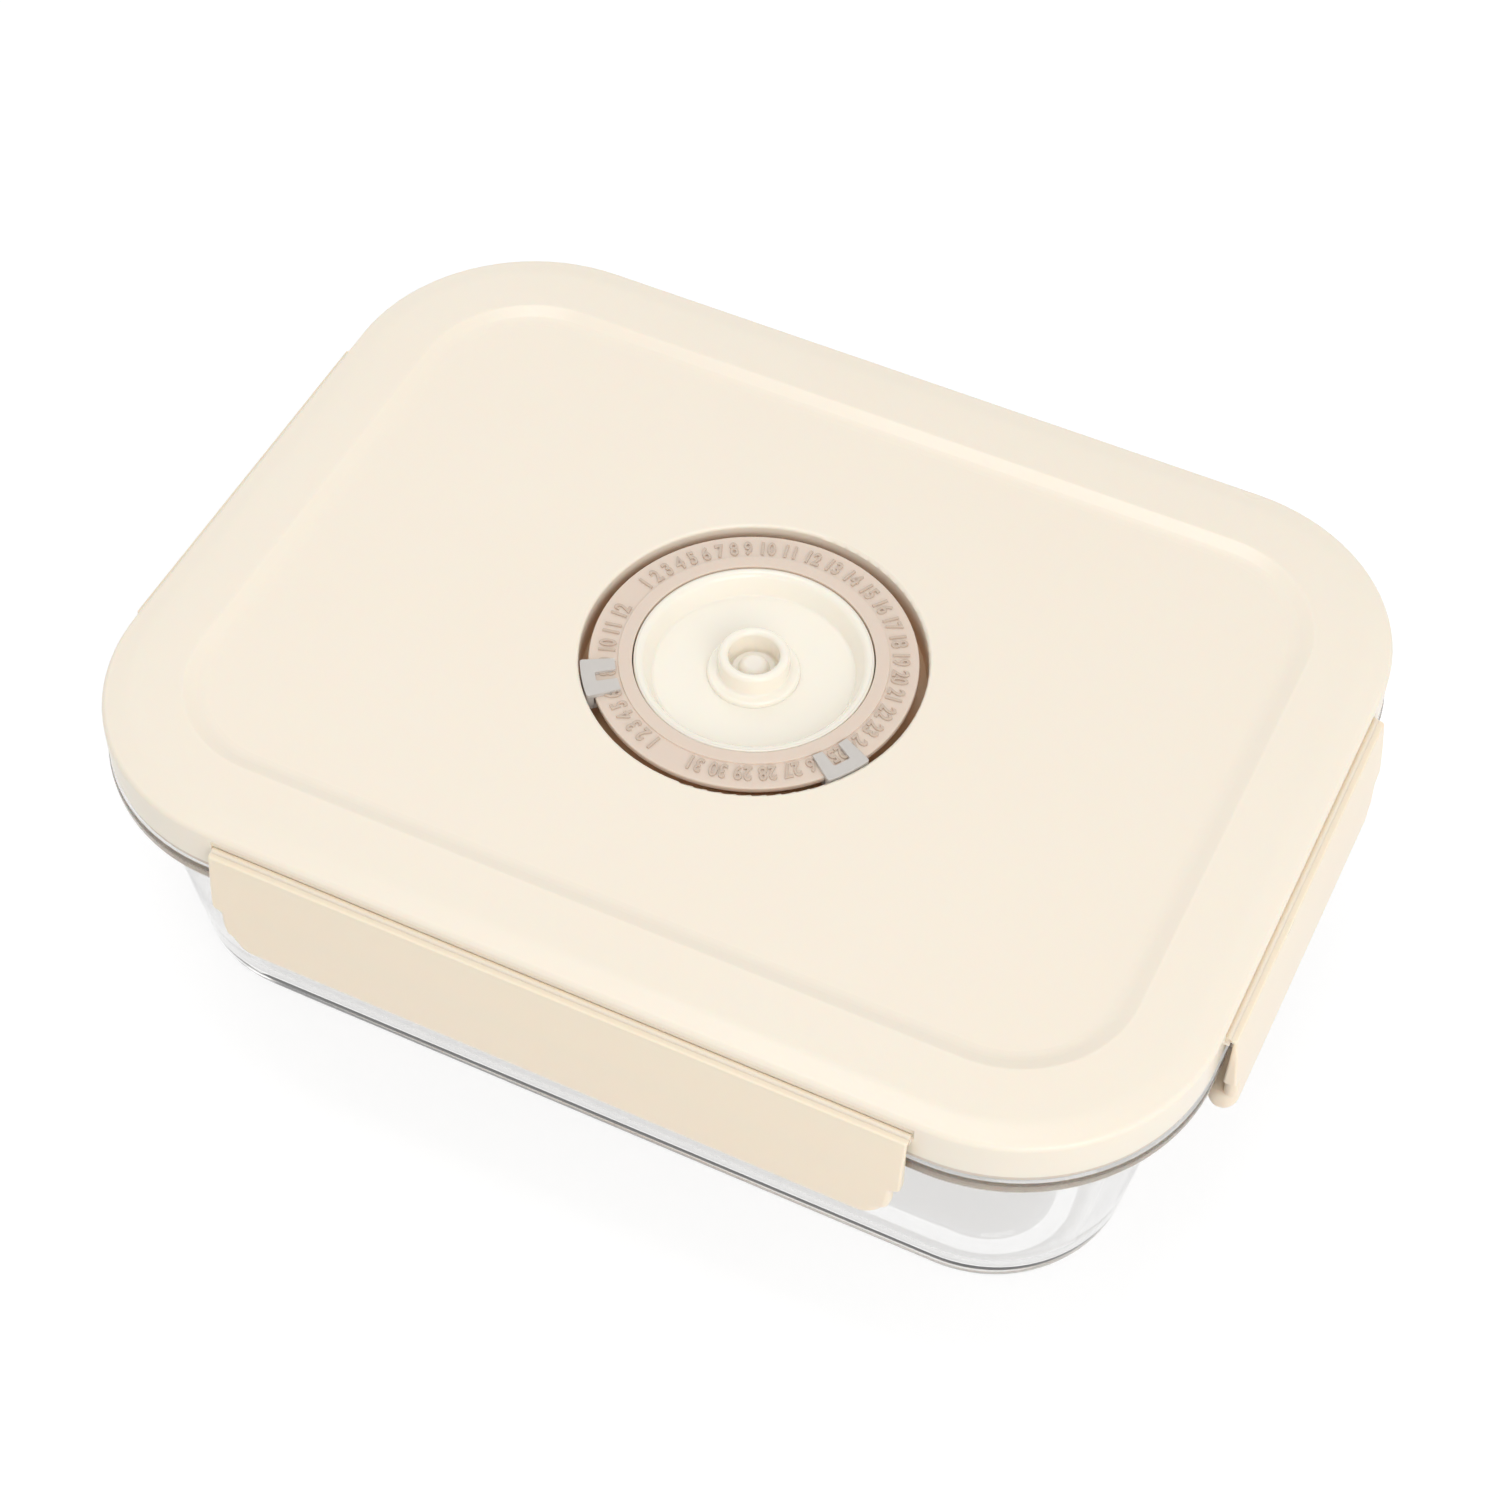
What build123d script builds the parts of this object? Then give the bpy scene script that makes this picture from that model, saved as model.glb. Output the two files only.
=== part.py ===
from build123d import *
import os
from math import cos, radians, sin

# Vacuum seal canister: a clear glass box with a latching lid, a date dial and a one-way air valve.
# Millimetres, +Z up, long side along X, origin at the middle of the base that it stands on.

# Lid outline, from which every wall of lid, seal and glass is set in or out
lid_length = 202.2
lid_width = 150.8
lid_corner = 35.5

# Glass box
glass_height = 53.9
glass_wall = 3.0
glass_floor = 4.2
glass_base_inset = 11.7
glass_base_round = 8.0
glass_floor_round = 6.5
flange_inset = -0.3
flange_reach = 5.1
flange_depth = 3.9
flange_top_round = 1.4
flange_under_round = 1.6
neck_round = 1.2

# Perimeter seal
seal_web = 1.3
seal_lip = 1.4
seal_rise = 3.5
seal_inset = 0.25
seal_gap = 0.1

# Lid shell
skirt_height = 8.0
skirt_wall = 1.8
rim_rise = 1.4
rim_edge_rise = 0.0
rim_edge_round = 1.0
rim_shoulder = 4.5
rim_shoulder_rise = 0.85
rim_shoulder_round = 10.0
rim_width = 14.0
recess_slope = 3.2
crown_round = 0.8
recess_round = 5.0
panel_wall = 2.0
rim_wall = 2.2
plug_wall = 1.6
plug_gap = 0.5
plug_depth = 3.5
panel_overlap = 8.0

# Dial well in the middle of the lid
well_wall = 1.8
well_depth = 7.2
well_edge_round = 0.6

# Date ring
ring_bore_gap = 0.2
ring_width = 7.6
ring_well_gap = 1.7
ring_plate = 1.6
ring_drop = 0.85
ring_band_rise = 0.35
ring_band_width = 2.4
ring_leg_inset = 2.3
ring_leg_wall = 1.5
ring_edge_round = 0.3

# Date markers, which clip over the rim of the ring
marker_band_gap = 0.6
marker_wall_gap = 0.25
marker_ring_gap = 0.3
marker_plate_gap = 0.05
marker_outer_width = 8.4
marker_inner_width = 7.0
month_window_width = 2.0
day_window_width = 3.2
marker_bar = 2.4
marker_leg_gap = 1.4
marker_hook_wall = 0.8
month_marker_angle = 216.2
day_marker_angle = -32.0

# Valve cup, the seat for the hand pump
cup_radius = 21.0
cup_lip_wall = 1.4
cup_foot_wall = 1.8
cup_drop = 0.6
cup_slope = 2.4
cup_floor_depth = 4.6
cup_floor_wall = 1.6
cup_floor_round = 1.6
cup_lip_round = 0.65
stem_radius = 8.6
stem_bore_radius = 6.1
stem_hole_gap = 0.3
stem_length = 5.6

# Valve nozzle
nozzle_radius = 6.3
nozzle_bore_radius = 4.5
nozzle_flange_radius = 8.2
nozzle_flange_wall = 1.1
nozzle_top_round = 0.85
nozzle_foot_round = 0.5
nozzle_rise = 0.7
nozzle_spigot = 2.9
nozzle_spigot_gap = 0.1
seat_depth = 4.2
seat_wall = 1.2
air_hole_radius = 0.5
air_hole_circle = 2.5
air_hole_count = 6

# Silicone valve plug
plug_disc_radius = 3.9
plug_disc_wall = 0.7
plug_dome_radius = 2.8
plug_dome_depth = 1.8
plug_stem_radius = 1.15
plug_stem_gap = 0.15
plug_bulb_radius = 1.7
plug_bulb_height = 1.6
plug_travel = 1.0
plug_edge_round = 0.25

# Washer and nut that hold the valve cup to the lid
washer_radius = 14.0
nut_radius = 14.5
nut_height = 3.0
nut_thread_gap = 0.1
nut_grips = 8
nut_grip_radius = 2.2

# Latches
long_latch = 126.8
short_latch = 73.4
hinge_out = 0.3
hinge_drop = 3.4
hinge_roll_radius = 0.7
hinge_gap = 0.06
hinge_end_gap = 0.4
hinge_rail_wall = 0.7
hinge_rail_reach = 0.5
hinge_neck_gap = 0.55
hinge_sweep_radius = 1.9
hinge_sweep_low = -42.0
hinge_sweep_high = 140.0
latch_drop = 26.8
latch_bead_radius = 2.7
latch_bead_out = 0.9
latch_step_drop = 15.6
long_latch_step_in = 1.4
long_latch_corner = 8.0
short_latch_step_in = 2.0
short_latch_corner = 1.8
latch_shoulder = 0.7
latch_ridge_in = 0.35
latch_neck_rise = 0.35
latch_neck_fall = 0.3
latch_ridge_round = 0.4
hook_gap = 0.5
hook_wall = 1.3
hook_root = 0.7
hook_slope = 0.7
hook_overlap = 1.8
hook_inset = 7.0
hook_round = 0.4

# One overrun for every cut that has to pass through a face
overrun = 1.0

skirt_bottom = glass_height + seal_web
panel_top = skirt_bottom + skirt_height
well_floor = panel_top - well_depth
plug_face = flange_inset + flange_reach + glass_wall + plug_gap
hinge_height = panel_top - hinge_drop
cup_floor_radius = cup_radius - cup_lip_wall - cup_slope
ring_bore = cup_radius + ring_bore_gap
ring_radius = ring_bore + ring_width
ring_band_radius = ring_bore + ring_band_width
ring_leg_outside = ring_bore + ring_leg_inset + ring_leg_wall
well_radius = ring_radius + ring_well_gap
marker_inner_radius = ring_band_radius + marker_band_gap
marker_radius = well_radius - marker_wall_gap


def outline(inset):
    """Flat rounded rectangle, set in from the lid's outline."""
    return RectangleRounded(lid_length - 2 * inset, lid_width - 2 * inset, lid_corner - inset)


def slab(inset, bottom, top):
    """Upright slab between two heights, with its sides set in from the lid's outline."""
    return Pos(0, 0, bottom) * extrude(outline(inset), amount=top - bottom)


def carried_round(section):
    """Solid made by carrying a section once round the lid; its X is outwards, its Y is height."""
    path = outline(0).wire()
    across = Plane(origin=path @ 0, x_dir=(path % 0).cross(Vector(0, 0, 1)), z_dir=-(path % 0))
    return sweep(across * section, path=path)


def corner_at(section, x, y):
    """The corner of a section that lies nearest to a point."""
    return section.vertices().sort_by_distance((x, y, 0))[0]


def polygon(*points):
    """Flat face inside a closed run of points."""
    return make_face(Polyline(*points, close=True))


def disc(radius, bottom, top):
    """Upright cylinder between two heights."""
    return Pos(0, 0, bottom) * extrude(Circle(radius), amount=top - bottom)


def turned(section):
    """Solid turned about Z from a section whose X is radius and whose Y is height."""
    return revolve(Plane.XZ * section, axis=Axis.Z)


def glass_container():
    """Thick glass box: tapering walls, a rounded foot and a rolled flange round the mouth."""
    mouth = flange_inset + flange_reach + glass_wall
    neck = flange_inset + flange_reach
    under = glass_height - flange_depth
    floor_edge = glass_base_inset + glass_wall
    middle = floor_edge + panel_overlap
    section = polygon((-mouth, glass_height), (-flange_inset, glass_height), (-flange_inset, under),
                      (-neck, under), (-glass_base_inset, 0), (-middle, 0), (-middle, glass_floor),
                      (-floor_edge, glass_floor))
    section = fillet(corner_at(section, -mouth, glass_height), neck_round)
    section = fillet(corner_at(section, -flange_inset, glass_height), flange_top_round)
    section = fillet(corner_at(section, -flange_inset, under), flange_under_round)
    section = fillet(corner_at(section, -neck, under), neck_round)
    section = fillet(corner_at(section, -glass_base_inset, 0), glass_base_round)
    section = fillet(corner_at(section, -floor_edge, glass_floor), glass_floor_round)
    return carried_round(section) + slab(middle, 0, glass_floor)


def lid_gasket():
    """Silicone seal: a web that bears on the glass and two lips that grip the lid's channel."""
    inner = plug_face - seal_gap
    outer = skirt_wall + seal_gap
    top = skirt_bottom + seal_rise
    section = polygon((-inner, glass_height), (-seal_inset, glass_height), (-seal_inset, skirt_bottom),
                      (-outer, skirt_bottom), (-outer, top), (-outer - seal_lip, top),
                      (-outer - seal_lip, skirt_bottom), (-inner + seal_lip, skirt_bottom),
                      (-inner + seal_lip, top), (-inner, top))
    return carried_round(section)


def lid_shell():
    """Moulded lid: recessed panel, raised rim, skirt, plug wall, dial well and four hinge rails."""
    crown = panel_top + rim_rise
    edge = panel_top + rim_edge_rise
    shoulder = panel_top + rim_shoulder_rise
    recess = rim_width + recess_slope
    middle = recess + panel_overlap
    under = panel_top - panel_wall
    plug_inside = plug_face + plug_wall
    plug_bottom = glass_height - plug_depth
    section = polygon((0, skirt_bottom), (0, edge), (-rim_shoulder, shoulder), (-rim_width, crown),
                      (-recess, panel_top), (-middle, panel_top), (-middle, under), (-recess, under),
                      (-rim_width, crown - rim_wall), (-plug_inside, crown - rim_wall),
                      (-plug_inside, plug_bottom), (-plug_face, plug_bottom),
                      (-plug_face, edge - rim_wall), (-skirt_wall, edge - rim_wall),
                      (-skirt_wall, skirt_bottom))
    section = fillet(corner_at(section, 0, edge), rim_edge_round)
    section = fillet(corner_at(section, -rim_shoulder, shoulder), rim_shoulder_round)
    section = fillet(corner_at(section, -rim_width, crown), crown_round)
    section = fillet(corner_at(section, -recess, panel_top), recess_round)
    shell = carried_round(section) + slab(middle, under, panel_top)
    shell += disc(well_radius + well_wall, well_floor - panel_wall, under)
    shell -= disc(well_radius, well_floor, panel_top + overrun)
    shell -= disc(stem_radius + stem_hole_gap, well_floor - panel_wall - overrun, well_floor + overrun)
    rim = shell.edges().filter_by(GeomType.CIRCLE).filter_by(lambda e: e.radius == well_radius)
    shell = fillet(rim.sort_by(Axis.Z)[-1], well_edge_round)
    for place, length in latch_places():
        shell += place * hinge_rail(length)
        shell -= place * hinge_cut(length)
    return shell


def latch_places():
    """Where each latch turns: X of the place is outwards, Y is up, and Z runs along the side."""
    out_x = lid_length / 2 + hinge_out
    out_y = lid_width / 2 + hinge_out
    front = Plane(origin=(0, -out_y, hinge_height), x_dir=(0, -1, 0), z_dir=(-1, 0, 0))
    back = Plane(origin=(0, out_y, hinge_height), x_dir=(0, 1, 0), z_dir=(1, 0, 0))
    left = Plane(origin=(-out_x, 0, hinge_height), x_dir=(-1, 0, 0), z_dir=(0, 1, 0))
    right = Plane(origin=(out_x, 0, hinge_height), x_dir=(1, 0, 0), z_dir=(0, -1, 0))
    return [(front, long_latch), (back, long_latch), (left, short_latch), (right, short_latch)]


def along(section, length):
    """Solid of a latch section, as long both ways from the middle of the side."""
    return extrude(section, amount=length / 2, both=True)


def hinge_rail(length):
    """Ledge of the skirt that carries a latch's roll from below."""
    low = hinge_roll_radius + hinge_gap + hinge_rail_wall
    section = polygon((-skirt_wall, -low), (hinge_rail_reach, -low), (hinge_rail_reach, 0),
                      (-skirt_wall, 0))
    return along(section, length)


def hinge_cut(length):
    """Room for a latch's roll, and the sector that its neck sweeps as it opens."""
    low = radians(hinge_sweep_low)
    high = radians(hinge_sweep_high)
    half = (low + high) / 2
    reach = hinge_sweep_radius
    arc = ThreePointArc((reach * cos(low), reach * sin(low)), (reach * cos(half), reach * sin(half)),
                        (reach * cos(high), reach * sin(high)))
    sector = make_face(arc + Polyline(arc @ 1, (0, 0), arc @ 0))
    return along(sector + Circle(hinge_roll_radius + hinge_gap), length + 2 * hinge_end_gap)


def latch(length, step_in, corner):
    """Snap latch: hinge roll, flared plate, hook rib under the glass flange and a thick pull bead."""
    roll = hinge_roll_radius
    hook_top = glass_height - flange_depth - hinge_height - hook_gap
    hook_tip = -flange_inset - hook_overlap - hinge_out
    bead_out = latch_bead_out - hinge_out
    bead_down = latch_bead_radius - (latch_drop - hinge_drop)
    outside = bead_out + latch_bead_radius
    neck_out = hinge_rail_reach + hinge_neck_gap
    shoulder = neck_out + latch_shoulder
    ridge = shoulder - latch_ridge_in
    outer = TangentArc((outside, bead_down), (shoulder, -latch_neck_fall), tangent=(0, 1))
    inner = Line((bead_out, bead_down), (neck_out, -latch_neck_fall))
    neck = Polyline(outer @ 1, (ridge, latch_neck_rise), (roll / 2, latch_neck_rise),
                    (roll / 2, -latch_neck_fall), inner @ 1)
    plate = make_face(outer + neck + inner + Line(inner @ 0, outer @ 0))
    plate = fillet(corner_at(plate, ridge, latch_neck_rise), latch_ridge_round)
    root = outside - hook_root
    hook = polygon((hook_tip, hook_top), (root, hook_top), (root, hook_top - hook_wall - hook_slope),
                   (hook_tip, hook_top - hook_wall))
    hook = fillet(hook.vertices().sort_by(Axis.X)[0:2], hook_round)
    bead = Pos(bead_out, bead_down) * Circle(latch_bead_radius)
    body = along(plate, length) + along(Circle(roll), length) + along(bead, length)
    return (body + along(hook, length - 2 * hook_inset)) & latch_front(length, step_in, corner)


def latch_front(length, step_in, corner):
    """Block with the latch's front view: a full-width top, a step in and a round-cornered lower lip."""
    top = hinge_roll_radius + overrun
    step = hinge_drop - latch_step_drop
    bottom = hinge_drop - latch_drop
    half = length / 2
    lip = half - step_in
    view = polygon((-half, top), (half, top), (half, step), (lip, step), (lip, bottom), (-lip, bottom),
                   (-lip, step), (-half, step))
    view = fillet(view.vertices().group_by(Axis.Y)[0], corner)
    reach = latch_bead_radius + latch_bead_out + hook_overlap + flange_inset
    return Plane.ZY * extrude(view, amount=reach, both=True)


def date_ring():
    """Date ring: a plate with a raised inner band, on a leg that stands on the well's floor."""
    top = panel_top - ring_drop
    band = top + ring_band_rise
    under = top - ring_plate
    leg_inside = ring_bore + ring_leg_inset
    section = polygon((ring_bore, under), (ring_bore, band), (ring_band_radius, band),
                      (ring_band_radius, top), (ring_radius, top), (ring_radius, under),
                      (ring_leg_outside, under), (ring_leg_outside, well_floor),
                      (leg_inside, well_floor), (leg_inside, under))
    section = fillet(corner_at(section, ring_radius, top), ring_edge_round)
    return turned(section)


def date_marker(angle, window_width):
    """Date clip: a plate with a reading window, a leg down the ring's edge and a hook under it."""
    ring_top = panel_top - ring_drop
    under_ring = ring_top - ring_plate
    leg_inside = ring_radius + marker_ring_gap
    hook_top = under_ring - marker_ring_gap
    hook_bottom = hook_top - marker_hook_wall
    hook_inside = ring_leg_outside + marker_leg_gap
    plate_bottom = ring_top + marker_plate_gap
    section = polygon((marker_inner_radius, plate_bottom), (leg_inside, plate_bottom),
                      (leg_inside, hook_top), (hook_inside, hook_top), (hook_inside, hook_bottom),
                      (marker_radius, hook_bottom), (marker_radius, panel_top),
                      (marker_inner_radius, panel_top))
    half_out = marker_outer_width / 2
    half_in = marker_inner_width / 2
    plan = polygon((marker_inner_radius - overrun, -half_in), (marker_radius + overrun, -half_out),
                   (marker_radius + overrun, half_out), (marker_inner_radius - overrun, half_in))
    height = panel_top - hook_bottom + 2 * overrun
    block = Pos(0, 0, hook_bottom - overrun) * extrude(plan, amount=height)
    marker = turned(section) & block
    window_reach = marker_radius - marker_bar - marker_inner_radius + overrun
    window = Pos(marker_inner_radius - overrun + window_reach / 2, 0, plate_bottom - overrun) * extrude(
        Rectangle(window_reach, window_width), amount=ring_drop + 2 * overrun)
    return Rot(0, 0, angle) * (marker - window)


def valve_cup():
    """Pump seat: a rounded lip, a sloping dish, a foot in the well and a stem through the lid."""
    lip = panel_top - cup_drop
    floor = panel_top - cup_floor_depth
    under = floor - cup_floor_wall
    inside = cup_radius - cup_lip_wall
    foot = cup_radius - cup_foot_wall
    stem_bottom = under - stem_length
    section = polygon((stem_bore_radius, floor), (cup_floor_radius, floor), (inside, lip),
                      (cup_radius, lip), (cup_radius, well_floor), (foot, well_floor), (foot, under),
                      (stem_radius, under), (stem_radius, stem_bottom), (stem_bore_radius, stem_bottom))
    section = fillet(corner_at(section, cup_floor_radius, floor), cup_floor_round)
    section = fillet([corner_at(section, inside, lip), corner_at(section, cup_radius, lip)], cup_lip_round)
    return turned(section)


def valve_washer():
    """Flat silicone washer that seals the cup's floor on the well's floor."""
    under = panel_top - cup_floor_depth - cup_floor_wall
    bore = stem_radius + stem_hole_gap
    return disc(washer_radius, well_floor, under) - disc(bore, well_floor - overrun, under + overrun)


def valve_nut():
    """Round nut with finger notches that clamps the stem from under the lid."""
    top = well_floor - panel_wall
    bottom = top - nut_height
    bore = disc(stem_radius + nut_thread_gap, bottom - overrun, top + overrun)
    nut = disc(nut_radius, bottom, top) - bore
    notch = disc(nut_grip_radius, bottom - overrun, top + overrun)
    nut -= PolarLocations(nut_radius + nut_grip_radius / 2, nut_grips) * notch
    return nut


def valve_nozzle():
    """Nozzle that the pump draws through: collar, tube, seat with air holes and a spigot in the cup."""
    floor = panel_top - cup_floor_depth
    top = panel_top + nozzle_rise
    seat = panel_top - seat_depth
    spigot = stem_bore_radius - nozzle_spigot_gap
    collar = floor + nozzle_flange_wall
    spigot_bottom = floor - nozzle_spigot
    hole = plug_stem_radius + plug_stem_gap
    section = polygon((hole, seat), (nozzle_bore_radius, seat), (nozzle_bore_radius, top),
                      (nozzle_radius, top), (nozzle_radius, collar), (nozzle_flange_radius, collar),
                      (nozzle_flange_radius, floor), (spigot, floor), (spigot, spigot_bottom),
                      (nozzle_bore_radius, spigot_bottom), (nozzle_bore_radius, seat - seat_wall),
                      (hole, seat - seat_wall))
    section = fillet([corner_at(section, nozzle_bore_radius, top),
                      corner_at(section, nozzle_radius, top)], nozzle_top_round)
    section = fillet([corner_at(section, nozzle_radius, collar),
                      corner_at(section, nozzle_flange_radius, collar)], nozzle_foot_round)
    air_hole = disc(air_hole_radius, seat - seat_wall - overrun, seat + overrun)
    return turned(section) - PolarLocations(air_hole_circle, air_hole_count) * air_hole


def valve_plug():
    """Soft check-valve plug: a domed head on a thin disc, a stem and a bulb that keeps it in its seat."""
    seat = panel_top - seat_depth
    disc_top = seat + plug_disc_wall
    dome_top = panel_top - plug_dome_depth
    seat_under = seat - seat_wall
    bulb_top = seat_under - plug_travel - plug_stem_gap
    section = polygon((0, bulb_top), (plug_stem_radius, bulb_top), (plug_stem_radius, seat),
                      (plug_disc_radius, seat), (plug_disc_radius, disc_top), (0, disc_top))
    section = fillet(corner_at(section, plug_disc_radius, disc_top), plug_edge_round)
    bulb_bottom = bulb_top - plug_bulb_height
    bulb = polygon((0, bulb_top), (plug_bulb_radius, bulb_top), (plug_stem_radius, bulb_bottom),
                   (0, bulb_bottom))
    curve = TangentArc((0, dome_top), (plug_dome_radius, disc_top), tangent=(1, 0))
    dome = make_face(curve + Polyline(curve @ 1, (0, disc_top), curve @ 0))
    return turned(section) + turned(bulb) + turned(dome)


def write_parts():
    """Builds every node and writes one STEP file for each."""
    front, back, left, right = latch_places()
    nodes = {
        "glass_container": glass_container(),
        "lid_gasket": lid_gasket(),
        "lid_shell": lid_shell(),
        "front_latch": front[0] * latch(front[1], long_latch_step_in, long_latch_corner),
        "back_latch": back[0] * latch(back[1], long_latch_step_in, long_latch_corner),
        "left_latch": left[0] * latch(left[1], short_latch_step_in, short_latch_corner),
        "right_latch": right[0] * latch(right[1], short_latch_step_in, short_latch_corner),
        "date_ring": date_ring(),
        "month_marker": date_marker(month_marker_angle, month_window_width),
        "day_marker": date_marker(day_marker_angle, day_window_width),
        "valve_cup": valve_cup(),
        "valve_nozzle": valve_nozzle(),
        "valve_plug": valve_plug(),
        "valve_washer": valve_washer(),
        "valve_nut": valve_nut(),
    }
    os.makedirs("parts", exist_ok=True)
    for name, solid in nodes.items():
        export_step(solid, f"parts/{name}.step")


write_parts()
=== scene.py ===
"""Vacuum seal canister: a clear glass box, a latching cream lid, a date dial and a one-way air valve.

Each class below makes one sub-assembly as numpy surfaces in the frame of the solid model, in metres, with
+Z up and the origin in the middle of the base. A wall is a profile carried round the lid's outline, a valve
piece is a profile turned about the dial's axis, and a latch is a stack of level loops.
"""

from __future__ import annotations

import logging
import math
from dataclasses import dataclass
from enum import Enum

import bmesh
import bpy
import numpy as np
from mathutils import Matrix, Vector

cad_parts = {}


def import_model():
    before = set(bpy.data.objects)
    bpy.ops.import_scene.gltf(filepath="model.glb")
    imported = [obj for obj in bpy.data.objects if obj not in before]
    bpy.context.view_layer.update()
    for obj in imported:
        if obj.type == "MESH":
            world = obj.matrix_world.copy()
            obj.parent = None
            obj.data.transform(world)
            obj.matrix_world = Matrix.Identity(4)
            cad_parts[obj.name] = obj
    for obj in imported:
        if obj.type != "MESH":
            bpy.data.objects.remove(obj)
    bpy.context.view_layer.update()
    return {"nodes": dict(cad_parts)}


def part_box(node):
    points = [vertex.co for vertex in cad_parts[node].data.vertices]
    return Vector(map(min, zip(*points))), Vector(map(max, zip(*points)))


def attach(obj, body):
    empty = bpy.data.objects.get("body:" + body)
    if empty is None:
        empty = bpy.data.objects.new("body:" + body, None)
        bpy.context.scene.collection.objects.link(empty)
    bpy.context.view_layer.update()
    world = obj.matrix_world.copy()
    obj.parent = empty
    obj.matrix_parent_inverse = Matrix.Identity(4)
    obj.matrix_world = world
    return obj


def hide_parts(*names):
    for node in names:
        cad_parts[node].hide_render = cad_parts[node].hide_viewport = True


LOG = logging.getLogger("canister")
Array = np.ndarray

MM = 0.001
MERGE_DISTANCE = 0.0005 * MM
SHARP_ANGLE = math.radians(38)
TINY = 1e-12


class Side(Enum):
    """The side of the lid that a latch hangs on, as its outward and lengthwise directions."""

    FRONT = ((0, -1), (-1, 0))
    BACK = ((0, 1), (1, 0))
    LEFT = ((-1, 0), (0, 1))
    RIGHT = ((1, 0), (0, -1))


def linear_colour(code: str) -> tuple[float, float, float, float]:
    """Turns an sRGB hex code into a linear colour with full alpha, by the sRGB formula.

    Args:
        code: Six hex digits, such as "F8EEDD".

    Returns:
        Red, green, blue and alpha, from 0 to 1.
    """
    parts = [int(code[i:i + 2], 16) / 255 for i in (0, 2, 4)]
    linear = [p / 12.92 if p <= 0.04045 else ((p + 0.055) / 1.055) ** 2.4 for p in parts]
    return (*linear, 1.0)


def rounded_line(points: Array, radii: Array, closed: bool = False, steps: int = 8) -> Array:
    """Rounds the corners of a line with arcs.

    Into a corner P runs the unit direction a, and out of it b, with a turn t between them. The arc starts at
    S = P - a r tan(t/2). With n the unit normal of a on b's side, its point at the angle q is
    S + n r (1 - cos q) + a r sin q.

    Args:
        points: Corner points, one a row.
        radii: One radius for each corner. An open line's two ends keep theirs unused.
        closed: Whether the last point joins the first.
        steps: Steps in each arc.

    Returns:
        The rounded line's points, without repeats.
    """
    before = points - np.roll(points, 1, axis=0)
    after = np.roll(points, -1, axis=0) - points
    a = before / np.linalg.norm(before, axis=1, keepdims=True)
    b = after / np.linalg.norm(after, axis=1, keepdims=True)
    along = np.sum(a * b, axis=1, keepdims=True)
    across = b - a * along
    size = np.linalg.norm(across, axis=1, keepdims=True)
    n = across / np.maximum(size, TINY)
    turn = np.arctan2(size, along)
    r = np.asarray(radii, float)[:, None]
    start = points - a * r * np.tan(turn / 2)
    q = turn * np.linspace(0, 1, steps + 1)[None, :]
    side = n[:, None] * (r * (1 - np.cos(q)))[..., None]
    arcs = start[:, None] + side + a[:, None] * (r * np.sin(q))[..., None]
    if closed:
        line = arcs.reshape(-1, 2)
    else:
        line = np.concatenate([points[:1], arcs[1:-1].reshape(-1, 2), points[-1:]])
    step = np.linalg.norm(np.diff(line, axis=0), axis=1)
    return line[np.concatenate([[True], step > MERGE_DISTANCE])]


def profile(corners: tuple[tuple[float, float], ...], rounds: tuple[float, ...],
            closed: bool = False) -> Array:
    """Makes a profile from corners given in millimetres.

    Args:
        corners: Inset or radius, and height, of each corner.
        rounds: The corners' radii, in the same order.
        closed: Whether the last corner joins the first.

    Returns:
        The rounded profile's points in metres.
    """
    return rounded_line(np.array(corners, float) * MM, np.array(rounds, float) * MM, closed)


@dataclass(frozen=True)
class Surface:
    """A grid of points, which may close on itself along its rows or its columns."""

    points: Array
    wrap_rows: bool = False
    wrap_columns: bool = False

    def faces(self, first: int) -> Array:
        """Gives the grid's four-cornered faces.

        Args:
            first: Index of the grid's first point in the mesh.

        Returns:
            Four point indices a row.
        """
        rows, columns = self.points.shape[:2]
        index = first + np.arange(rows * columns).reshape(rows, columns)
        index = np.concatenate([index, index[:1]]) if self.wrap_rows else index
        index = np.concatenate([index, index[:, :1]], axis=1) if self.wrap_columns else index
        corners = (index[:-1, :-1], index[1:, :-1], index[1:, 1:], index[:-1, 1:])
        return np.stack([c.ravel() for c in corners], axis=1)


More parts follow.
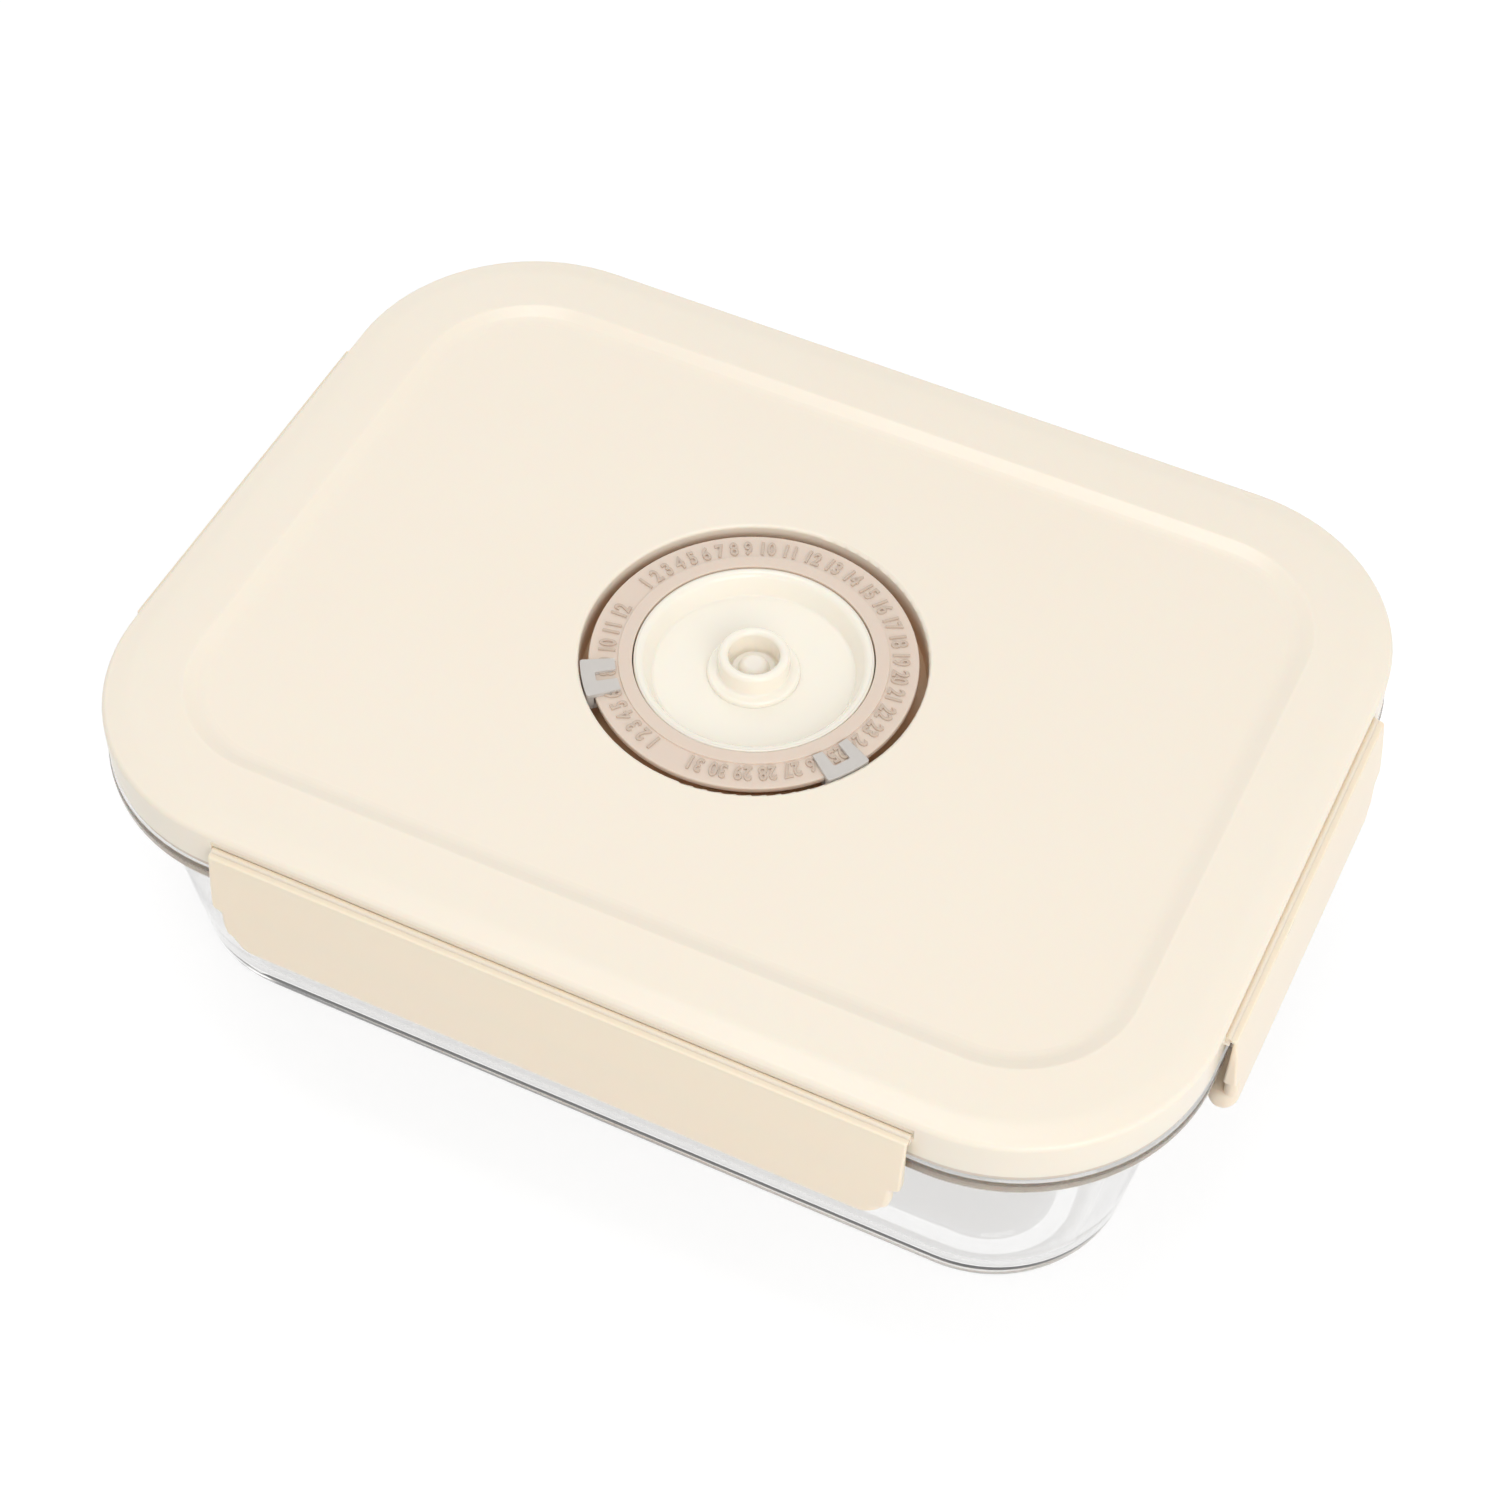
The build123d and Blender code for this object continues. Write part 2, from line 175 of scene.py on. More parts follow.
@dataclass(frozen=True)
class SidePath:
    """The lid's rounded rectangle. Each station is a centre and an outward normal."""

    half_x: float
    half_y: float
    corner: float
    arc_steps: int = 24
    side_steps: int = 16

    def stations(self) -> tuple[Array, Array]:
        """Gives the stations once round, as centres and outward normals.

        At a corner the centre stays and the normal turns. Along a side the normal stays and the centre moves.

        Returns:
            Two arrays of one row for each station.
        """
        signs = np.array([[1, 1], [-1, 1], [-1, -1], [1, -1]], float)
        centres = signs * [self.half_x - self.corner, self.half_y - self.corner]
        start = np.arange(4) * np.pi / 2
        turn = start[:, None] + np.linspace(0, np.pi / 2, self.arc_steps + 1)
        share = np.linspace(0, 1, self.side_steps + 1)[1:-1]
        at_arc = np.repeat(centres[:, None], self.arc_steps + 1, axis=1)
        step = np.roll(centres, -1, axis=0) - centres
        at_side = centres[:, None] + share[None, :, None] * step[:, None]
        side_turn = np.repeat((start + np.pi / 2)[:, None], len(share), axis=1)
        centre = np.concatenate([at_arc, at_side], axis=1).reshape(-1, 2)
        angle = np.concatenate([turn, side_turn], axis=1).ravel()
        return centre, np.stack([np.cos(angle), np.sin(angle)], axis=1)

    def carry(self, line: Array) -> Array:
        """Carries a profile of insets and heights once round.

        A point is the station's centre, plus its normal times the corner radius less the inset.

        Args:
            line: Profile points, inset and height.

        Returns:
            Points by station and profile point.
        """
        centre, normal = self.stations()
        reach = self.corner - line[:, 0]
        flat = centre[:, None] + normal[:, None] * reach[None, :, None]
        height = np.broadcast_to(line[None, :, 1], flat.shape[:2])
        return np.dstack([flat, height])


@dataclass(frozen=True)
class RoundPath:
    """A full turn about the dial's axis."""

    steps: int = 144

    def carry(self, line: Array) -> Array:
        """Turns a profile of radii and heights about the axis.

        Args:
            line: Profile points, radius and height.

        Returns:
            Points by angle and profile point.
        """
        angle = np.arange(self.steps) * 2 * np.pi / self.steps
        normal = np.stack([np.cos(angle), np.sin(angle)], axis=1)
        flat = normal[:, None] * line[None, :, :1]
        height = np.broadcast_to(line[None, :, 1], flat.shape[:2])
        return np.dstack([flat, height])


def closing(loop: Array, steps: int = 6) -> Surface:
    """Closes a flat loop with rings that shrink to its middle.

    Args:
        loop: The loop's points.
        steps: Number of rings.

    Returns:
        The closing surface.
    """
    middle = loop.mean(axis=0)
    share = np.linspace(1, 0, steps + 1)
    return Surface(middle + (loop - middle)[None] * share[:, None, None], wrap_columns=True)


def capped(loops: Array) -> list[Surface]:
    """Makes the skin of a stack of loops and closes it at both ends.

    Args:
        loops: Points by loop and place in the loop.

    Returns:
        The skin and its two ends.
    """
    return [Surface(loops, wrap_columns=True), closing(loops[0]), closing(loops[-1])]


def make_piece(name: str, surfaces: list[Surface], material: bpy.types.Material) -> bpy.types.Object:
    """Joins surfaces into one closed, smooth mesh object at the origin.

    Args:
        name: The object's name.
        surfaces: The grids to join where they meet.
        material: Its material.

    Returns:
        The new object.
    """
    first = np.cumsum([0] + [s.points.shape[0] * s.points.shape[1] for s in surfaces])
    points = np.concatenate([s.points.reshape(-1, 3) for s in surfaces])
    faces = np.concatenate([s.faces(int(f)) for s, f in zip(surfaces, first)])
    mesh = bpy.data.meshes.new(name)
    mesh.from_pydata(points.tolist(), [], faces.tolist())
    return finish_mesh(name, mesh, material)


def finish_mesh(name: str, mesh: bpy.types.Mesh, material: bpy.types.Material) -> bpy.types.Object:
    """Merges doubles, points the faces outwards, shades the mesh and makes its object.

    Args:
        name: The object's name.
        mesh: The raw mesh.
        material: Its material.

    Returns:
        The new object.
    """
    work = bmesh.new()
    work.from_mesh(mesh)
    bmesh.ops.remove_doubles(work, verts=work.verts, dist=MERGE_DISTANCE)
    bmesh.ops.dissolve_degenerate(work, edges=work.edges, dist=MERGE_DISTANCE)
    bmesh.ops.recalc_face_normals(work, faces=work.faces)
    work.to_mesh(mesh)
    work.free()
    mesh.shade_smooth()
    mesh.set_sharp_from_angle(angle=SHARP_ANGLE)
    mesh.materials.append(material)
    piece = bpy.data.objects.new(name, mesh)
    bpy.context.scene.collection.objects.link(piece)
    return piece


def settle(piece: bpy.types.Object, body: str, slot: str, *nodes: str) -> None:
    """Makes a piece ride on its body and hides the nodes that it stands for.

    Args:
        piece: The new piece.
        body: The body that it moves with.
        slot: Not used.
        nodes: The nodes that it stands for.
    """
    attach(piece, body)
    if nodes:
        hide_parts(*nodes)
    LOG.info("%s: %d faces on %s", piece.name, len(piece.data.polygons), body)


def add_node(tree: bpy.types.NodeTree, kind: str, values: dict | None = None, links: dict | None = None,
             **attributes: object) -> bpy.types.Node:
    """Adds a node with its settings and links.

    Args:
        tree: The node tree.
        kind: The node's type name.
        values: Input names or numbers and the values to set.
        links: Input names or numbers and the sockets that feed them.
        attributes: The node's own settings.

    Returns:
        The new node.
    """
    node = tree.nodes.new(kind)
    for name, value in attributes.items():
        setattr(node, name, value)
    for name, value in (values or {}).items():
        node.inputs[name].default_value = value
    for name, socket in (links or {}).items():
        tree.links.new(socket, node.inputs[name])
    return node


def new_material(name: str) -> tuple[bpy.types.Material, bpy.types.NodeTree]:
    """Makes an empty node material.

    Args:
        name: The material's name.

    Returns:
        The material and its node tree.
    """
    material = bpy.data.materials.new(name)
    material.use_nodes = True
    material.node_tree.nodes.clear()
    return material, material.node_tree


@dataclass(frozen=True)
class MouldedPlastic:
    """Injection-moulded plastic: an even colour with faint drift, a fine eroded grain and a soft sheen."""

    name: str
    colour: str
    drift: str
    roughness: float
    gloss_drift: float = 0.06
    ior: float = 1.49
    grain: float = 0.35 * MM
    grain_depth: float = 0.004 * MM
    grain_detail: float = 3.0
    drift_size: float = 45 * MM
    drift_detail: float = 2.0
    glow: float = 0.3
    glow_reach: float = 1.4 * MM
    glow_spread: tuple[float, float, float] = (1.0, 0.6, 0.4)
    transmission: float = 0.0
    # Painted shade: a darker colour mixed in down the dial's well, with the radius and heights that it spans.
    deep_colour: str = ""
    deep_radius: float = 30.7 * MM
    deep_top: float = 62.0 * MM
    deep_bottom: float = 58.0 * MM

    def depth_share(self, tree: bpy.types.NodeTree, place: bpy.types.NodeSocket) -> bpy.types.NodeSocket:
        """Gives how much painted shade a point gets in the dial's well: 0 at its mouth and outside it, 1 far
        down.

        Args:
            tree: The node tree to add to.
            place: The point in the object's frame.

        Returns:
            The socket with that share.
        """
        axes = add_node(tree, "ShaderNodeSeparateXYZ", links={0: place})
        flat = add_node(tree, "ShaderNodeCombineXYZ", links={0: axes.outputs[0], 1: axes.outputs[1]})
        radius = add_node(tree, "ShaderNodeVectorMath", links={0: flat.outputs[0]}, operation="LENGTH")
        inside = add_node(tree, "ShaderNodeMath", {1: self.deep_radius}, {0: radius.outputs["Value"]},
                          operation="LESS_THAN")
        down = add_node(tree, "ShaderNodeMapRange", {"From Min": self.deep_top, "From Max": self.deep_bottom},
                        {"Value": axes.outputs[2]})
        share = add_node(tree, "ShaderNodeMath", links={0: inside.outputs[0], 1: down.outputs["Result"]},
                         operation="MULTIPLY")
        return share.outputs[0]

    def build(self) -> bpy.types.Material:
        """Builds the material.

        Returns:
            The finished material.
        """
        material, tree = new_material(self.name)
        place = add_node(tree, "ShaderNodeTexCoord").outputs["Object"]
        cloud = add_node(tree, "ShaderNodeTexNoise",
                         {"Scale": 1 / self.drift_size, "Detail": self.drift_detail}, {"Vector": place})
        colour = add_node(tree, "ShaderNodeMix",
                          {6: linear_colour(self.colour), 7: linear_colour(self.drift)},
                          {0: cloud.outputs["Fac"]}, data_type="RGBA")
        tone = colour.outputs[2]
        # Painted shade: deeper in the dial's well the colour is mixed towards a darker brown, for the shade
        # between its close walls.
        if self.deep_colour:
            tone = add_node(tree, "ShaderNodeMix", {7: linear_colour(self.deep_colour)},
                            {0: self.depth_share(tree, place), 6: tone}, data_type="RGBA").outputs[2]
        gloss = add_node(tree, "ShaderNodeMapRange", {"To Min": self.roughness - self.gloss_drift,
                                                      "To Max": self.roughness + self.gloss_drift},
                         {"Value": cloud.outputs["Fac"]})
        grain = add_node(tree, "ShaderNodeTexNoise",
                         {"Scale": 1 / self.grain, "Detail": self.grain_detail}, {"Vector": place})
        bump = add_node(tree, "ShaderNodeBump", {"Strength": 1.0, "Distance": self.grain_depth},
                        {"Height": grain.outputs["Fac"]})
        shader = add_node(tree, "ShaderNodeBsdfPrincipled",
                          {"IOR": self.ior, "Subsurface Weight": self.glow,
                           "Subsurface Scale": self.glow_reach, "Subsurface Radius": self.glow_spread,
                           "Transmission Weight": self.transmission},
                          {"Base Color": tone, "Roughness": gloss.outputs["Result"],
                           "Normal": bump.outputs["Normal"]})
        add_node(tree, "ShaderNodeOutputMaterial", links={"Surface": shader.outputs["BSDF"]})
        return material


@dataclass(frozen=True)
class PressedGlass:
    """Pressed soda-lime glass: clear, faintly grey in depth, with the slight waviness of the mould."""

    name: str
    tint: str
    depth_tint: str
    depth_density: float
    ior: float = 1.51
    roughness: float = 0.0
    wave: float = 26 * MM
    wave_depth: float = 0.02 * MM
    wave_detail: float = 1.0

    def build(self) -> bpy.types.Material:
        """Builds the material.

        Returns:
            The finished material.
        """
        material, tree = new_material(self.name)
        place = add_node(tree, "ShaderNodeTexCoord").outputs["Object"]
        wave = add_node(tree, "ShaderNodeTexNoise", {"Scale": 1 / self.wave, "Detail": self.wave_detail},
                        {"Vector": place})
        bump = add_node(tree, "ShaderNodeBump", {"Strength": 1.0, "Distance": self.wave_depth},
                        {"Height": wave.outputs["Fac"]})
        shader = add_node(tree, "ShaderNodeBsdfPrincipled",
                          {"Base Color": linear_colour(self.tint), "IOR": self.ior,
                           "Roughness": self.roughness, "Transmission Weight": 1.0},
                          {"Normal": bump.outputs["Normal"]})
        depth = add_node(tree, "ShaderNodeVolumeAbsorption",
                         {"Color": linear_colour(self.depth_tint), "Density": self.depth_density})
        add_node(tree, "ShaderNodeOutputMaterial",
                 links={"Surface": shader.outputs["BSDF"], "Volume": depth.outputs["Volume"]})
        return material


@dataclass(frozen=True)
class Finishes:
    """All the finishes, built once."""

    lid: bpy.types.Material
    latch: bpy.types.Material
    dish: bpy.types.Material
    ring: bpy.types.Material
    number: bpy.types.Material
    marker: bpy.types.Material
    seal: bpy.types.Material
    plug: bpy.types.Material
    glass: bpy.types.Material

    @classmethod
    def build(cls) -> Finishes:
        """Builds every finish of the canister.

        Returns:
            The finishes.
        """
        return cls(
            # Cream polypropylene from a polished tool: an even colour, light that soaks in a little and a
            # broad sheen. Painted shade: the dial's well is painted brown for the light lost between its
            # close walls.
            lid=MouldedPlastic("moulded polypropylene, cream lid", "FAEFDF", "F9EDDC", 0.30,
                               deep_colour="EBCBA5").build(),
            # The latches' polypropylene is the lid's, and their tool is polished alike. Their colour is
            # painted a shade warmer than the lid's, as painted warm shade on their upright faces.
            latch=MouldedPlastic("moulded polypropylene, cream latch in painted warm shade", "FEECD6", "FDEAD2", 0.30).build(),
            # Hard cream ABS, polished to a gloss where the pump's cup seals on it: tight, bright edges.
            dish=MouldedPlastic("polished moulded ABS, cream", "FDF5E8", "FCF3E4", 0.18,
                                grain_depth=0.001 * MM).build(),
            # Taupe ABS, spark-eroded to a fine matt. Its side in the narrow gap is painted browner than the
            # well, as painted shade.
            ring=MouldedPlastic("moulded ABS, taupe", "E6D4C4", "E3D1C1", 0.36, deep_colour="C0906C",
                                deep_top=61.6 * MM, deep_bottom=60.6 * MM).build(),
            # The numbers are cut into the same tool and polished, and their edges shine. Their colour is
            # painted darker than the ring's, as painted shade for the shadows round their edges.
            number=MouldedPlastic("polished moulded ABS, taupe numbers in painted shade", "CEBBAB", "CCB8A7", 0.20,
                                  grain_depth=0.0005 * MM).build(),
            # Frosted polycarbonate lets some light through, so the clip looks grey-white with soft edges.
            marker=MouldedPlastic("frosted moulded polycarbonate", "EAE5DF", "E6E1DB", 0.30, ior=1.58,
                                  transmission=0.3, glow=0.0).build(),
            # Pressed silicone: taupe, matt, and it dulls where it is squeezed between lid and glass.
            seal=MouldedPlastic("moulded silicone, taupe", "EAD5C5", "E6D0BF", 0.55, ior=1.41, glow=0.7,
                                glow_reach=4 * MM).build(),
            # Soft white silicone that light soaks into, with a satin skin.
            plug=MouldedPlastic("moulded silicone, white", "FBF4EA", "F8F1E5", 0.30, ior=1.41,
                                glow=0.4).build(),
            # Soda-lime glass pressed in a mould: clear, a little wavy, grey where the eye looks along it.
            glass=PressedGlass("pressed soda-lime glass", "FEFEFE", "D4D1C9", 9.0).build(),
        )


@dataclass(frozen=True)
class CanisterSizes:
    """Sizes that all pieces share, read from the solid model's boxes."""

    path: SidePath
    glass_top: float
    skirt_bottom: float
    panel_top: float
    corner: float = 35.5 * MM
    seal_inset: float = 0.25 * MM
    seal_web: float = 1.3 * MM

    @classmethod
    def read(cls) -> CanisterSizes:
        """Reads the boxes of the seal, the glass and a marker.

        Returns:
            The shared sizes.
        """
        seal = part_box("lid_gasket")[1]
        glass_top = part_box("glass_container")[1].z
        path = SidePath(seal.x + cls.seal_inset, seal.y + cls.seal_inset, cls.corner)
        return cls(path, glass_top, glass_top + cls.seal_web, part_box("month_marker")[1].z)


@dataclass(frozen=True)
class GlassBox:
    """The glass box: tapering walls, a rounded foot ring and a rolled flange round the mouth."""

    sizes: CanisterSizes
    wall: float = 3.0
    floor: float = 4.2
    base_inset: float = 11.7
    flange_inset: float = -0.3
    flange_reach: float = 5.1
    flange_depth: float = 3.9
    foot_round: float = 8.0
    floor_round: float = 6.5
    middle_inset: float = 30.0
    foot_width: float = 3.0
    foot_rise: float = 0.45
    foot_slope: float = 1.0
    foot_edge_round: float = 1.0
    mouth_inner_round: float = 1.2
    mouth_outer_round: float = 1.4
    flange_round: float = 1.6
    neck_round: float = 1.2

    def build(self, finish: bpy.types.Material) -> None:
        """Builds the glass as one closed skin.

        Args:
            finish: The glass.
        """
        top = self.sizes.glass_top / MM
        neck = self.flange_inset + self.flange_reach
        under = top - self.flange_depth
        floor_edge = self.base_inset + self.wall
        foot = self.base_inset + self.foot_round + self.foot_width
        corners = ((self.middle_inset, self.floor), (floor_edge, self.floor), (neck + self.wall, top),
                   (self.flange_inset, top), (self.flange_inset, under), (neck, under), (self.base_inset, 0),
                   (foot, 0), (foot + self.foot_slope, self.foot_rise), (self.middle_inset, self.foot_rise))
        rounds = (0, self.floor_round, self.mouth_inner_round, self.mouth_outer_round, self.flange_round,
                  self.neck_round, self.foot_round, self.foot_edge_round, self.foot_edge_round, 0)
        skin = self.sizes.path.carry(profile(corners, rounds))
        surfaces = [Surface(skin, wrap_rows=True), closing(skin[:, 0]), closing(skin[:, -1])]
        settle(make_piece("glass_box", surfaces, finish), "container", "clear_glass", "glass_container")


@dataclass(frozen=True)
class PerimeterSeal:
    """The silicone seal: a web that bears on the glass and two lips in the lid's channel.

    The web reaches a hair into the glass, so that light leaves the glass straight into the silicone, as it
    does where a soft seal is squeezed on.
    """

    sizes: CanisterSizes
    outer: float = 1.9
    inner: float = 8.2
    lip: float = 1.4
    rise: float = 3.5
    edge_round: float = 0.25
    contact: float = 0.03

    def build(self, finish: bpy.types.Material) -> None:
        """Builds the seal as one closed section carried round.

        Args:
            finish: The silicone.
        """
        low = self.sizes.glass_top / MM - self.contact
        web = self.sizes.skirt_bottom / MM
        out = self.sizes.seal_inset / MM
        top = web + self.rise
        r = self.edge_round
        corners = ((self.inner, low), (out, low), (out, web), (self.outer, web), (self.outer, top),
                   (self.outer + self.lip, top), (self.outer + self.lip, web), (self.inner - self.lip, web),
                   (self.inner - self.lip, top), (self.inner, top))
        line = profile(corners, (r, r, r, 0, r, r, r, r, r, r), closed=True)
        skin = Surface(self.sizes.path.carry(line), wrap_rows=True, wrap_columns=True)
        settle(make_piece("perimeter_seal", [skin], finish), "lid", "taupe_silicone", "lid_gasket")


@dataclass(frozen=True)
class SnapLatch:
    """A latch in millimetres: a roll in the lid's groove, a flared plate, a hook rib and a pull bead."""

    side: Side
    node: str
    length: float
    step_in: float
    corner: float
    out: float
    hinge_height: float
    roll: float = 0.7
    neck_rise: float = 0.35
    neck_fall: float = 0.3
    neck_out: float = 1.05
    shoulder: float = 1.75
    bead_out: float = 0.6
    bead_radius: float = 2.7
    bead_down: float = -20.7
    step_down: float = -12.2
    step_blend: float = 1.0
    edge_round: float = 0.45
    edge_blend: float = 2.0
    bead_end_round: float = 2.3
    cap_round: float = 0.35
    hook_root: float = 0.7
    hook_round: float = 0.35
    hook_top: float = -10.3
    hook_wall: float = 1.3
    hook_slope: float = 0.7
    hook_tip: float = -1.8
    hook_inset: float = 7.0
    hook_overlap: float = 0.1
    least_thickness: float = 1e-4
    fullest_edge_share: float = 0.96
    corner_points: int = 7
    ridge_points: int = 7
    neck_points: int = 5
    flat_points: int = 12
    step_points: int = 9
    low_points: int = 5
    bead_points: int = 40
    hook_points: int = 5
    slope_points: int = 4
    roll_points: int = 24

    def outer_face(self, height: Array) -> Array:
        """Gives how far out the front of the flared plate is at some heights.

        It is an arc that stands upright at the bead's middle. With rise h from there to the neck and reach d
        between the two distances out, its radius is (h h + d d) / (2 d).

        Args:
            height: Heights from the hinge's axis.

        Returns:
            The distances out.
        """
        low = self.bead_out + self.bead_radius
        rise = -self.neck_fall - self.bead_down
        reach = low - self.shoulder
        radius = (rise ** 2 + reach ** 2) / (2 * reach)
        up = np.clip(height - self.bead_down, 0, rise)
        return low - radius + np.sqrt(radius ** 2 - up ** 2)

    def inner_face(self, height: Array) -> Array:
        """Gives how far out the back of the plate is: a straight line from the neck to the bead's middle.

        Args:
            height: Heights from the hinge's axis.

        Returns:
            The distances out.
        """
        return np.interp(height, [self.bead_down, -self.neck_fall], [self.bead_out, self.neck_out])

    def half_length(self, height: Array) -> Array:
        """Gives the front view's half length at some heights: a full top, a step in and round lower corners.

        Over the share s of its height the step goes in by s s (3 - 2 s), and each corner is a quarter circle.

        Args:
            height: Heights from the hinge's axis.

        Returns:
            Half lengths.
        """
        share = np.clip((self.step_down - height) / self.step_blend + 0.5, 0, 1)
        half = self.length / 2 - self.step_in * share * share * (3 - 2 * share)
        bottom = self.bead_down - self.bead_radius
        up = np.clip(height - bottom, 0, self.corner)
        return half - self.corner + np.sqrt(self.corner ** 2 - (self.corner - up) ** 2)

    def loops(self, height: Array, inner: Array, outer: Array, half: Array, edge: Array) -> Array:
        """Stacks level rounded rectangles.

        Args:
            height: Height of each loop.
            inner: Least distance out of each loop.
            outer: Greatest distance out of each loop.
            half: Half length of each loop.
            edge: Corner radius of each loop, which is kept under half its thickness.

        Returns:
            Points by loop and place in the loop, as out, along and height.
        """
        thick = np.maximum(outer - inner, self.least_thickness) / 2
        r = np.minimum(edge, thick * self.fullest_edge_share)[:, None]
        middle = ((outer + inner) / 2)[:, None]
        quarter = np.linspace(0, np.pi / 2, self.corner_points)
        angle = (quarter[None, :] + (np.arange(4) * np.pi / 2)[:, None]).ravel()
        sign_out = np.repeat([1, -1, -1, 1], self.corner_points)
        sign_along = np.repeat([1, 1, -1, -1], self.corner_points)
        out = middle + sign_out * (thick[:, None] - r) + r * np.cos(angle)
        along = sign_along * (half[:, None] - r) + r * np.sin(angle)
        return np.dstack([out, along, np.broadcast_to(height[:, None], out.shape)])

    def plate(self) -> Array:
        """Gives the loops of neck, plate and bead from the top down.

        Returns:
            Points by loop and place in the loop.
        """
        ridge = np.linspace(0, np.pi / 2, self.ridge_points)
        cap = self.neck_rise - self.cap_round * (1 - np.sin(ridge[::-1]))
        neck = np.linspace(self.neck_rise - self.cap_round, -self.neck_fall, self.neck_points)[1:]
        bead_top = self.bead_down + self.bead_radius
        step_top = self.step_down + self.step_blend / 2
        flat = np.linspace(-self.neck_fall, step_top, self.flat_points)
        step = np.linspace(step_top, step_top - self.step_blend, self.step_points)[1:]
        low = np.linspace(step[-1], bead_top, self.low_points)[1:]
        circle = self.bead_down + self.bead_radius * np.cos(np.linspace(0, np.pi, self.bead_points))[1:]
        height = np.concatenate([cap, neck, flat, step, low, circle])
        chord = np.sqrt(np.maximum(self.bead_radius ** 2 - (height - self.bead_down) ** 2, 0))
        outer = self.outer_face(height)
        outer = np.where(height < self.bead_down, self.bead_out + chord, outer)
        inner = self.inner_face(height)
        inner = np.where(height < bead_top, np.minimum(inner, self.bead_out - chord), inner)
        inner = np.where(height < self.bead_down, self.bead_out - chord, inner)
        n_neck = len(cap) + len(neck)
        inner[:n_neck] = 0
        outer[:len(cap)] = self.shoulder - self.cap_round * (1 - np.cos(ridge[::-1]))
        span = [self.step_down - self.edge_blend, self.step_down]
        edge = np.interp(height, span, [self.bead_end_round, self.edge_round])
        return self.loops(height, inner, outer, self.half_length(height), edge)

    def hook(self) -> Array:
        """Gives the loops of the hook rib, whose underside slopes down to the plate.

        Returns:
            Points by loop and place in the loop.
        """
        plate_middle = self.bead_out + self.bead_radius - self.hook_root - self.edge_round
        tip_low = self.hook_top - self.hook_wall
        q = np.linspace(0, np.pi / 2, self.hook_points)
        r = self.hook_round
        top = self.hook_top - r * (1 - np.sin(q[::-1]))
        bottom = tip_low + r * (1 - np.sin(q))
        slope = np.linspace(tip_low, tip_low - self.hook_slope, self.slope_points)[1:]
        height = np.concatenate([top, bottom, slope])
        nose = self.hook_tip + r * (1 - np.cos(q))
        root = np.linspace(self.hook_tip + r, plate_middle - self.hook_overlap, self.slope_points)[1:]
        inner = np.concatenate([nose[::-1], nose, root])
        half = np.full(len(height), self.length / 2 - self.hook_inset)
        edge = np.full(len(height), self.edge_round)
        return self.loops(height, inner, np.full(len(height), plate_middle), half, edge)

    def to_frame(self, points: Array) -> Array:
        """Turns out, along and height in millimetres into the frame.

        Args:
            points: Points of this latch.

        Returns:
            The same points in metres, in the frame.
        """
        out, along = (np.array(direction, float) for direction in self.side.value)
        flat = out * (points[..., :1] + self.out) + along * points[..., 1:2]
        return np.concatenate([flat, points[..., 2:] + self.hinge_height], axis=-1) * MM

    def build(self, finish: bpy.types.Material) -> None:
        """Builds the latch.

        Args:
            finish: The latch's plastic.
        """
        angle = np.linspace(0, 2 * np.pi, self.roll_points, endpoint=False)
        ring = np.stack([self.roll * np.cos(angle), np.zeros_like(angle), self.roll * np.sin(angle)], axis=1)
        half = self.length / 2
        ends = np.array([[0, -half, 0], [0, half, 0]])
        stacks = (self.plate(), self.hook(), ring[None] + ends[:, None])
        surfaces = [surface for stack in stacks for surface in capped(self.to_frame(stack))]
        piece = make_piece(self.node + "_plate", surfaces, finish)
        piece.modifiers.new("even", "WEIGHTED_NORMAL").keep_sharp = True
        settle(piece, self.node, "cream_plastic", self.node)


